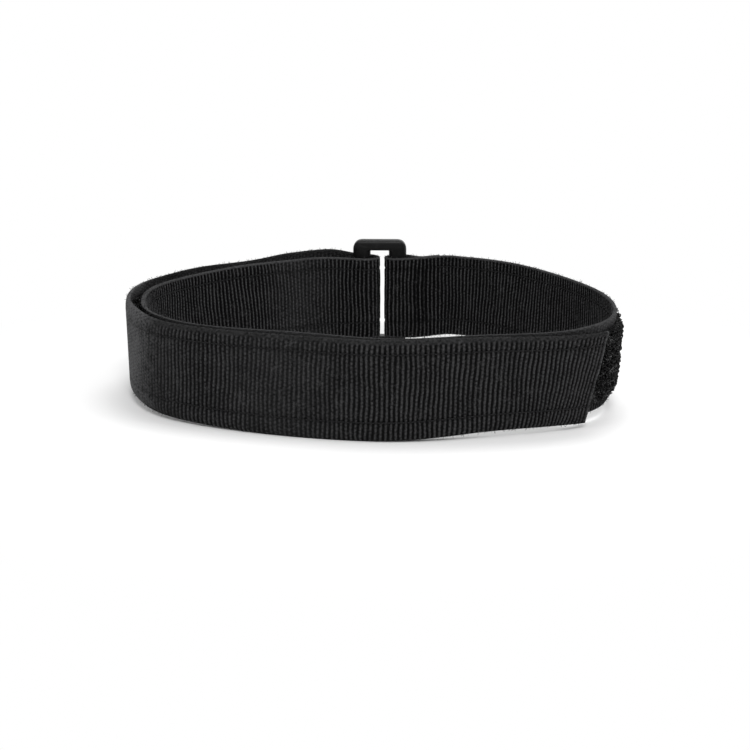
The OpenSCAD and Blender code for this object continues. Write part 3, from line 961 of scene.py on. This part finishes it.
@cache
def webbing_material():
    webbing, groove_shade = shades("webbing"), shades("groove_shade")(1)
    m = MaterialWriter("Ribbed nylon", Specular_IOR_Level=0.035)
    yarn = m.group(yarn_group(), Yarn_Pitch=1.05 * MM, Irregularity=1.1,
                   Rib_Pitch=bpy.context.scene.strap_sizes.rib_pitch)
    lint = m.group(lint_group(), Scale=1.0, Amount=0.18)
    rib, pressed, edge, plain, lap = (m.attribute(n) for n in ("rib", "pressed", "edge", "plain", "lap"))

    # Ribs over grooves, with painted shade in the grooves and between the yarns and painted highlight on the
    # crests; the lap's ribs are broader and less pale than the loop's, and the loop's grooves get darker
    # painted shade
    crest = m.soft_step(rib, lap * -0.28 + 0.50, 0.98)
    flat = m.math("MAXIMUM", plain, 1.0 - edge)
    level = m.add("ShaderNodeMix", {0: flat, 2: crest, 3: lap * -0.28 + 0.66})
    woven = m.math("MULTIPLY", level, yarn["Shade"], clamp=True)
    low = m.blend_colours(lap, groove_shade, webbing(0.09))
    high = m.blend_colours(lap, webbing(1.4), webbing(1.15))
    base = m.blend_colours(woven, low, high)

    # Worn cloth is paler, the loop's rims are paler as a painted highlight, dust lies on all of it, and the
    # seams' pressed lines get painted shade
    mottled = m.math("MULTIPLY", m.soft_step(plain, 0.4, 1.05), yarn["Shade"], clamp=True)
    worn = m.blend_colours(mottled * 0.9, base, webbing(2.0))
    # Painted highlight along the rims of the loop's layer
    rim_highlighted = m.blend_colours((1.0 - edge) * (lap * -0.5 + 0.5), worn, webbing(1.2))
    dusty = m.blend_colours(lint["Mask"], rim_highlighted, webbing(3.2))
    # Painted shade where the seams press the cloth in
    seam_shaded = m.blend_colours(pressed * 0.35, dusty, groove_shade)
    weave = m.bump(yarn["Height"], 0.16 * MM, 0.9)
    return m.finish(seam_shaded, yarn["Height"] * -0.15 + 0.70, m.bump(lint["Height"], 0.05 * MM, 0.4, Normal=weave))


@cache
def pile_material():
    pile = shades("pile")
    m = MaterialWriter("Loop pile", Specular_IOR_Level=0.06)
    lint = m.group(lint_group(), Scale=1.4, Amount=0.6)
    # Painted shade at the roots of each loop, and a painted highlight at the top of its arc
    strand = m.blend_colours(m.soft_step(m.attribute("strand"), 0.35, 1.0), pile(0.04), pile(1))
    dusty = m.blend_colours(lint["Mask"], strand, pile(1.6))
    return m.finish(dusty, lint["Height"] * 0.3 + 0.38, m.bump(lint["Height"], 0.05 * MM, 0.5))


@cache
def hook_material():
    hooks = shades("hooks")
    m = MaterialWriter("Moulded hooks", Specular_IOR_Level=0.4)
    grain = m.group(moulded_group(), Grain_Size=0.15 * MM, Scuffs=0.3)
    scuffed = m.blend_colours(grain["Scuff"], hooks(1), hooks(1.8))
    return m.finish(scuffed, grain["Height"] * 0.25 + 0.34, m.bump(grain["Height"], 0.02 * MM, 0.5))


@cache
def thread_material():
    thread = shades("thread")
    m = MaterialWriter("Sewing thread", Specular_IOR_Level=0.08)
    twist = m.add("ShaderNodeTexWave", {"Vector": m.object_place(), "Scale": 900.0, "Distortion": 1.5},
                  out=1, bands_direction="DIAGONAL")
    lint = m.group(lint_group(), Scale=1.8, Amount=0.4)
    twisted = m.blend_colours(twist, thread(0.45), thread(1.1))
    dusty = m.blend_colours(lint["Mask"], twisted, thread(2.2))
    return m.finish(dusty, twist * -0.15 + 0.62, m.bump(twist, 0.04 * MM, 0.6))


@cache
def ring_material():
    ring = shades("ring")
    top = RING_BOX[1].z
    m = MaterialWriter("Moulded black plastic", Specular_IOR_Level=0.16)
    grain = m.group(moulded_group(), Grain_Size=0.22 * MM, Scuffs=0.55)
    place = m.object_place()
    centred = m.add("ShaderNodeMapping", {"Vector": place, "Location": tuple(-RING_MIDDLE)})
    depth = m.add("ShaderNodeSeparateXYZ", {0: centred}, out=1)
    parting = m.soft_step(abs(depth), 0.05 * MM, 0.13 * MM, 1.0, 0.0)
    # Painted shade: below its top bar the ring's colour turns far darker, standing in for the shade under
    # that bar
    height = m.add("ShaderNodeSeparateXYZ", {0: place}, out=2)
    painted_shade_below_top = m.soft_step(height, top - 3.2 * MM, top - 2.0 * MM, 0.25, 1.0)
    scuffed = m.blend_colours(grain["Scuff"], ring(1), ring(2.4))
    lit = m.blend_colours(painted_shade_below_top, ring(0.15), scuffed)
    rough = (grain["Height"] * 0.22 + 0.24) + grain["Scuff"] * 0.3
    fine = m.bump(grain["Height"], 0.022 * MM, 0.7)
    return m.finish(lit, rough, m.bump(parting, 0.05 * MM, 0.7, Normal=fine))


def floor_material():
    """A pale floor that fades to plain white away from the object, for the camera only."""
    floor = shades("floor")
    m = MaterialWriter("Pale floor", Specular_IOR_Level=0.0, Roughness=0.9)
    place = m.object_place()
    tone = m.blend_colours(m.noise(place, 9.0, 2.0) * 0.15, floor(1), floor(0.985))
    m.join(tone, m.shader.inputs["Base Color"])
    far = m.add("ShaderNodeVectorMath", {0: place}, out=1, operation="LENGTH")
    away = m.soft_step(far, 0.075, 0.15)
    white = m.add("ShaderNodeEmission", {"Color": (1, 1, 1, 1), "Strength": 1.0})
    mixed = m.add("ShaderNodeMixShader", {0: away * m.seen_directly(), 1: m.shader.outputs[0], 2: white})
    m.join(mixed, m.tree.nodes["Material Output"].inputs["Surface"])
    return m.material


def backdrop_world(strength):
    """Soft light from everywhere, and plain white wherever the world itself is seen."""
    world = bpy.data.worlds.new("Soft studio")
    world.use_nodes = True
    w = NodeWriter(world.node_tree)
    background = world.node_tree.nodes["Background"]
    background.inputs["Color"].default_value = (1, 1, 1, 1)
    level = w.add("ShaderNodeMix", {0: w.seen_directly(), 2: strength, 3: 1.0})
    w.join(level, background.inputs["Strength"])
    bpy.context.scene.world = world


# ---- Camera, and places on what it sees ----
SENSOR_W = 36.0
CLIP = (0.01, 50.0)
SEARCH = (0.2, 0.6, 400)     # distances along a ray at which the nearest place is sought


def photo_ray(camera, point):
    """Start and direction of the camera's ray through a point of the photograph."""
    data = camera.data
    ray = Vector((point[0] - PHOTO_W / 2 + data.shift_x * LONGEST,
                  PHOTO_H / 2 - point[1] + data.shift_y * LONGEST,
                  -LONGEST * data.lens / data.sensor_width))
    turn = camera.matrix_world.to_3x3()
    return camera.matrix_world.translation.copy(), (turn @ ray).normalized()


def place_on(carriers, point):
    """Where the ray through a photo point meets the carriers, or the place nearest to the ray."""
    start, way = photo_ray(bpy.context.scene.camera, point)
    vertices, faces = [], []
    for item in carriers:
        offset = len(vertices)
        vertices += [v.co.copy() for v in item.data.vertices]
        faces += [[offset + i for i in p.vertices] for p in item.data.polygons]
    tree = BVHTree.FromPolygons(vertices, faces)
    hit, normal, _, _ = tree.ray_cast(start, way)
    if hit is None:
        steps = (start + way * distance for distance in np.linspace(*SEARCH))
        hit, normal, _, _ = min((tree.find_nearest(p) for p in steps), key=lambda found: found[3])
    return hit, normal


def seen_at(points):
    """Photo coordinates of points in the part's frame."""
    camera = bpy.context.scene.camera
    data = camera.data
    turn = np.array(camera.matrix_world.to_3x3())
    local = (np.atleast_2d(points) - np.array(camera.matrix_world.translation)) @ turn
    scale = LONGEST * data.lens / data.sensor_width / -local[:, 2]
    return np.stack([PHOTO_W / 2 + local[:, 0] * scale - data.shift_x * LONGEST,
                     PHOTO_H / 2 - local[:, 1] * scale + data.shift_y * LONGEST], -1)


@cache
def seam_places():
    """Half the distance of the edge seams, the height of their middle, and the first cross seam's run."""
    guide = swept_band("guide", np.arange(0, ROUTE.length, MM), [
        (-WEB_W / 2, -WEB_T), (WEB_W / 2, -WEB_T), (WEB_W / 2, 0), (-WEB_W / 2, 0)], [0] * 4)
    found = {}
    for name in ("upper_seam", "lower_seam", "cross_seams"):
        hit = np.array(place_on([guide], PHOTO_POINTS[name])[0])
        k = np.argmin(np.linalg.norm(ROUTE.middle - hit[:2], axis=1))
        found[name] = ROUTE.t[k], hit[2] - ROUTE.low[k] - WEB_W / 2
    bpy.data.objects.remove(guide)
    upper, lower = found["upper_seam"][1], found["lower_seam"][1]
    return (upper - lower) / 2, (upper + lower) / 2, found["cross_seams"][0] - CROSS_SEAM_GAP / 2


# ---- Operators: one for each piece or group of like pieces, and one for the stage ----
PER_MM2 = 1e6
COLUMNS_PER_RIB = 5
LOOP_BACKING = 0.42 * MM
HOOK_BACKING = 0.38 * MM
BACKING_ROWS = 11
COVERED_DENSITY = 0.42       # share of the pile's loops that stands where the lap covers them
SEAM_STEP = 0.8 * MM
CROSS_STITCH = 0.85          # length of a cross seam's stitch, as a share of the others'
THREAD_DEPTH = -WEB_T + 0.22 * MM
WELD = 0.002 * MM
RING_VOXEL = 0.17 * MM
RING_SOFTENING = (0.5, 12)
FLOOR_REACH = 6.0
FLOOR_AT = -0.02 * MM
BACKDROP = 0.62
# Name, place, diameter and power of each soft light
LIGHTS = (
    ("Key light", (0.10, -0.75, 0.75), 0.35, 4.6),
    ("Top light", (0.10, 0.25, 0.95), 0.50, 3.2),
    ("Side light", (0.80, -0.15, 0.35), 0.40, 2.0),
)


class STRAP_OT_camera(bpy.types.Operator):
    """Set the photograph's camera"""
    bl_idname = "strap.camera"
    bl_label = "Camera"

    def execute(self, context):
        stage = context.scene.strap_stage
        data = bpy.data.cameras.new("Photo camera")
        data.sensor_fit = "AUTO"
        data.sensor_width = SENSOR_W
        data.lens = stage.lens
        data.clip_start, data.clip_end = CLIP
        camera = shown("Photo camera", data)
        camera.location = (stage.sideways, -stage.distance, stage.height)
        camera.rotation_euler = (math.pi / 2 - stage.pitch, 0.0, stage.turn)
        context.scene.camera = camera
        context.view_layer.update()
        return {"FINISHED"}


class STRAP_OT_webbing(bpy.types.Operator):
    """Sweep the ribbed webbing along the strap's route, in five stretches"""
    bl_idname = "strap.webbing"
    bl_label = "Ribbed webbing"

    def execute(self, context):
        sizes = context.scene.strap_sizes
        seam_height, seam_middle, crossing = seam_places()
        profile, signs = webbing_profile()
        for name, first, last, bodies, nodes in WEBBING_STRETCHES:
            runs = columns(first, last, sizes.rib_pitch, COLUMNS_PER_RIB)
            base = swept_band("webbing_base", runs, profile, signs, plain=ROUTE.wear(runs)[:, None],
                              hem=ROUTE.hem(runs)[:, None], lap=rise(runs, ROUTE.t_lap, 6 * MM)[:, None])
            piece = grown(ribbed_webbing_tree(), base, f"webbing_{name}_stretch", {
                "Rib Pitch": sizes.rib_pitch, "Rib Depth": sizes.rib_depth, "Strap Width": WEB_W,
                "Selvage": sizes.selvage, "Seam Height": seam_height, "Seam Middle": seam_middle,
                "Cross Seam": crossing, "Cross Seam Gap": CROSS_SEAM_GAP,
                "Fuzz per Area": sizes.fuzz_count * PER_MM2, "Fuzz Length": sizes.fuzz_length,
                "Seed": sizes.seed, "Material": webbing_material()})
            place_piece(piece, bodies, [f"webbing_{node}" for node in nodes])
        return {"FINISHED"}


class STRAP_OT_loop_tape(bpy.types.Operator):
    """Lay the loop tape on the webbing's B side and grow its pile"""
    bl_idname = "strap.loop_tape"
    bl_label = "Loop tape"

    def execute(self, context):
        sizes = context.scene.strap_tapes
        profile, signs = tape_profile(LOOP_BACKING, BACKING_ROWS)
        on_top = np.arange(len(profile)) >= 2
        rounded = 1 - 0.5 * np.abs(np.array(profile)[:, 0] / (TAPE_W / 2)) ** 5
        for name, first, last, bodies, nodes in LOOP_STRETCHES:
            runs = columns(first, last, 1.0 * MM)
            exposed = fall(runs, ROUTE.t_at(2, TIP_AT), 5 * MM)
            density = COVERED_DENSITY + (1 - COVERED_DENSITY) * exposed
            heights = self.heights(runs, exposed)
            base = swept_band("tape_base", runs, profile, signs, height=heights[:, None] * rounded,
                              cover=density[:-1, None] * on_top)
            piece = grown(loop_pile_tree(), base, f"loop_tape_{name}_stretch", {
                "Loops per Area": sizes.pile_count * PER_MM2,
                "Thread Share": 0.5 * sizes.loop_thread / float(np.mean(heights)),
                "Seed": context.scene.strap_sizes.seed + len(name), "Material": pile_material()})
            place_piece(piece, bodies, [f"loop_tape_{node}" for node in nodes])
        return {"FINISHED"}

    def heights(self, runs, exposed):
        """The pile stands high where it is exposed, and lies low at its start and in the ring."""
        sizes = bpy.context.scene.strap_tapes
        full = sizes.covered_height + (sizes.pile_height - sizes.covered_height) * exposed
        full = np.minimum(full, sizes.covered_height + 0.06 * (runs - LOOPS_FROM) + 0.3 * MM)
        return full * (1 - 0.65 * bump_at(runs, ROUTE.t_turn, 18 * MM))


class STRAP_OT_hook_tape(bpy.types.Operator):
    """Lay the hook tape under the free end and stand its hooks in rows"""
    bl_idname = "strap.hook_tape"
    bl_label = "Hook tape"

    def execute(self, context):
        sizes = context.scene.strap_tapes
        rows = max(4, round(TAPE_W / sizes.hook_pitch)) + 1
        profile, signs = tape_profile(HOOK_BACKING, rows)
        on_top = np.array([0, 0] + [1] * (rows - 1) + [0])
        for name, first, last, bodies, nodes in HOOK_STRETCHES:
            base = swept_band("hook_base", columns(first, last, sizes.hook_pitch), profile, signs,
                              cover=on_top)
            piece = grown(hook_rows_tree(), base, f"hook_tape_{name}_stretch", {
                "Hook Height": sizes.hook_height, "Seed": context.scene.strap_sizes.seed,
                "Material": hook_material()})
            place_piece(piece, bodies, [f"hook_tape_{node}" for node in nodes])
        return {"FINISHED"}


class STRAP_OT_stitching(bpy.types.Operator):
    """Sew the two edge seams and the two cross seams, stitch by stitch"""
    bl_idname = "strap.stitching"
    bl_label = "Stitching"

    def execute(self, context):
        sizes = context.scene.strap_sizes
        seam_height, seam_middle, crossing = seam_places()
        for name, first, last, bodies, nodes in WEBBING_STRETCHES:
            runs = np.arange(max(first, SEAMS_FROM) + SEAM_STEP / 2, min(last, SEAMS_TO), SEAM_STEP)
            rows = [(runs, seam_middle + side * seam_height) for side in (1, -1)]
            piece = self.sew(f"edge_stitches_{name}", rows, sizes.stitch_length)
            seams = ("inner",) if name == "inner" else nodes
            place_piece(piece, bodies, [f"edge_seams_{node}" for node in seams])
        inside = seam_height - SEAM_STEP
        heights = seam_middle + np.linspace(-inside, inside, 24)
        rows = [(crossing + k * CROSS_SEAM_GAP + 0 * heights, heights) for k in (0, 1)]
        piece = self.sew("anchor_stitches", rows, CROSS_STITCH * sizes.stitch_length)
        place_piece(piece, LOOP, ["anchor_seams"])
        return {"FINISHED"}

    def sew(self, name, rows, stitch_length):
        """Stitches along rows, each given by its runs and its heights across the strap."""
        sizes = bpy.context.scene.strap_sizes
        points = np.concatenate([ROUTE.place(runs, heights, THREAD_DEPTH) for runs, heights in rows])
        outside = np.zeros((len(points), 3))
        outside[:, :2] = np.concatenate([-ROUTE.direction(runs) for runs, _ in rows])
        starts = np.cumsum([len(runs) for runs, _ in rows])
        edges = [(i, i + 1) for i in range(len(points) - 1) if i + 1 not in starts]
        base = mesh_object(name + "_row", points, [], [("outside", "FLOAT_VECTOR", outside)], edges)
        return grown(stitch_row_tree(), base, name, {
            "Stitch Length": stitch_length, "Thread": sizes.thread, "Seed": sizes.seed,
            "Material": thread_material()})


class STRAP_OT_ring(bpy.types.Operator):
    """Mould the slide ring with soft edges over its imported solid"""
    bl_idname = "strap.ring"
    bl_label = "Slide ring"

    def execute(self, context):
        mesh = frame["nodes"]["slide_ring"].data.copy()
        shell = bmesh.new()
        shell.from_mesh(mesh)
        bmesh.ops.remove_doubles(shell, verts=shell.verts, dist=WELD)
        bmesh.ops.recalc_face_normals(shell, faces=shell.faces)
        shell.to_mesh(mesh)
        shell.free()
        base = shown("ring_base", mesh)
        remesh = base.modifiers.new("Even skin", "REMESH")
        remesh.mode, remesh.voxel_size = "VOXEL", RING_VOXEL
        soften = base.modifiers.new("Soft edges", "SMOOTH")
        soften.factor, soften.iterations = RING_SOFTENING
        piece = settled(base, "moulded_ring")
        piece.data.shade_smooth()
        piece.data.materials.clear()
        piece.data.materials.append(ring_material())
        place_piece(piece, ("ring",), ["slide_ring"])
        return {"FINISHED"}


class STRAP_OT_stage(bpy.types.Operator):
    """Lay the pale floor and hang the soft lights"""
    bl_idname = "strap.stage"
    bl_label = "Stage"

    def execute(self, context):
        corners = ((-1, -1), (1, -1), (1, 1), (-1, 1))
        floor = mesh_object("floor", [(x * FLOOR_REACH, y * FLOOR_REACH, FLOOR_AT) for x, y in corners],
                            [(0, 1, 2, 3)])
        floor.data.materials.append(floor_material())
        backdrop_world(BACKDROP)
        context.scene.view_settings.view_transform = "Standard"
        for name, place, size, power in LIGHTS:
            data = bpy.data.lights.new(name, "AREA")
            data.shape, data.size, data.energy = "DISK", size, power
            lamp = shown(name, data)
            lamp.location = place
            lamp.rotation_mode = "QUATERNION"
            lamp.rotation_quaternion = (-Vector(place)).to_track_quat("-Z", "Y")
        return {"FINISHED"}


class STRAP_PT_panel(bpy.types.Panel):
    """Sizes, colours and pieces of the strap"""
    bl_idname = "STRAP_PT_panel"
    bl_label = "Hook-and-loop strap"
    bl_space_type = "VIEW_3D"
    bl_region_type = "UI"
    bl_category = "Strap"

    def draw(self, context):
        layout = self.layout
        for operator in STRAP_OPERATORS:
            layout.operator(operator.bl_idname)
        for label, group in (("Webbing", context.scene.strap_sizes), ("Tapes", context.scene.strap_tapes),
                             ("Colours", context.scene.strap_colours), ("Camera", context.scene.strap_stage)):
            box = layout.box()
            box.label(text=label)
            for name in group.__annotations__:
                box.prop(group, name)


STRAP_GROUPS = (("strap_sizes", StrapSizes), ("strap_tapes", TapeSizes),
                ("strap_colours", StrapColours), ("strap_stage", StageSizes))
STRAP_OPERATORS = (STRAP_OT_camera, STRAP_OT_webbing, STRAP_OT_loop_tape, STRAP_OT_hook_tape,
                   STRAP_OT_stitching, STRAP_OT_ring, STRAP_OT_stage)


def register():
    for _, group in STRAP_GROUPS:
        bpy.utils.register_class(group)
    for cls in (*STRAP_OPERATORS, STRAP_PT_panel):
        bpy.utils.register_class(cls)
    for name, group in STRAP_GROUPS:
        setattr(bpy.types.Scene, name, PointerProperty(type=group))


def unregister():
    for name, _ in STRAP_GROUPS:
        delattr(bpy.types.Scene, name)
    for cls in (STRAP_PT_panel, *reversed(STRAP_OPERATORS)):
        bpy.utils.unregister_class(cls)
    for _, group in reversed(STRAP_GROUPS):
        bpy.utils.unregister_class(group)


# ---- Distances of things from their photo points ----
STITCH_VERTICES = 42         # of one stitch: seven rings of six


def box_of(points):
    """Left, right, top and bottom of some photo points, or four times nothing."""
    if not len(points):
        return (None,) * 4
    (left, top), (right, bottom) = points.min(0), points.max(0)
    return left, right, top, bottom


def mean_of(points):
    return tuple(points.mean(0)) if len(points) else (None, None)


def extreme(points, axis, pick):
    return tuple(points[pick(points[:, axis])]) if len(points) else (None, None)


def vertices_of(item):
    co = np.zeros(len(item.data.vertices) * 3)
    item.data.vertices.foreach_get("co", co)
    return co.reshape(-1, 3)


def attribute_of(piece, name):
    values = np.zeros(len(piece.data.vertices), np.float32)
    piece.data.attributes[name].data.foreach_get("value", values)
    return values


def seam_at(name, upper):
    """The stitch of the front's upper or lower seam that shows nearest to its photo point."""
    pieces = [PIECES[k] for k in ("edge_stitches_front", "edge_stitches_free_end")]
    row = np.concatenate([vertices_of(piece) for piece in pieces])
    row = row[(row[:, 2] > WEB_W / 2) == upper]
    shown = seen_at(row)
    nearest = np.argsort(np.abs(shown[:, 0] - PHOTO_POINTS[name][0]))[:STITCH_VERTICES]
    return mean_of(shown[nearest])


def write_points():
    """Works out how far each thing shows from its photo point, in x and y, and keeps none of it."""
    everything = np.concatenate([vertices_of(piece) for piece in PIECES.values()])
    left, right, top, bottom = box_of(seen_at(everything[everything[:, 2] > 0]))
    ring = vertices_of(PIECES["moulded_ring"])
    strap_top = RING_MIDDLE.z + WEB_W / 2
    ring_left, ring_right, _, _ = box_of(seen_at(ring[ring[:, 2] > strap_top + 1.5 * MM]))
    slot_corner = (RING_MIDDLE.x, RING_MIDDLE.y - BAR_R, strap_top + 1.4 * MM)
    turns = [ROUTE.t[ROUTE.part == part].mean() for part in (1, 3)]
    end = PIECES["webbing_free_end_stretch"]
    cut = seen_at(vertices_of(end)[attribute_of(end, "along") > ROUTE.length - 0.01 * MM])
    inner = PIECES["webbing_inner_stretch"]
    rim = seen_at(vertices_of(inner)[attribute_of(inner, "across") > WEB_W / 2 - 0.5 * MM])
    cross = box_of(seen_at(vertices_of(PIECES["anchor_stitches"])))
    places = {
        "left_edge": (left, None),
        "right_edge": (right, None),
        "top_edge": (None, top),
        "bottom_edge": (None, bottom),
        "ring_left": (ring_left, None),
        "ring_right": (ring_right, None),
        "slot_top": mean_of(seen_at([slot_corner])),
        "slit_middle": mean_of(np.concatenate([seen_at(ROUTE.place(t, 0.0, -WEB_T)) for t in turns])),
        "upper_seam": seam_at("upper_seam", True),
        "lower_seam": seam_at("lower_seam", False),
        "cross_seams": (sum(cross[:2]) / 2, sum(cross[2:]) / 2) if cross[0] is not None else (None, None),
        "free_end_top": extreme(cut, 1, np.argmin),
        "free_end_bottom": extreme(cut, 1, np.argmax),
        "inner_left_bend": extreme(rim, 0, np.argmin),
    }
    for name, wanted in PHOTO_POINTS.items():
        [None if a is None or b is None else round(float(b - a), 1)
                        for a, b in zip(wanted, places[name])]


def main():
    register()
    for operator in STRAP_OPERATORS:
        group, name = operator.bl_idname.split(".")
        if getattr(getattr(bpy.ops, group), name)() != {"FINISHED"}:
            raise RuntimeError(f"{operator.bl_label} wasn't made")
    write_points()


if __name__ == "__main__":
    main()
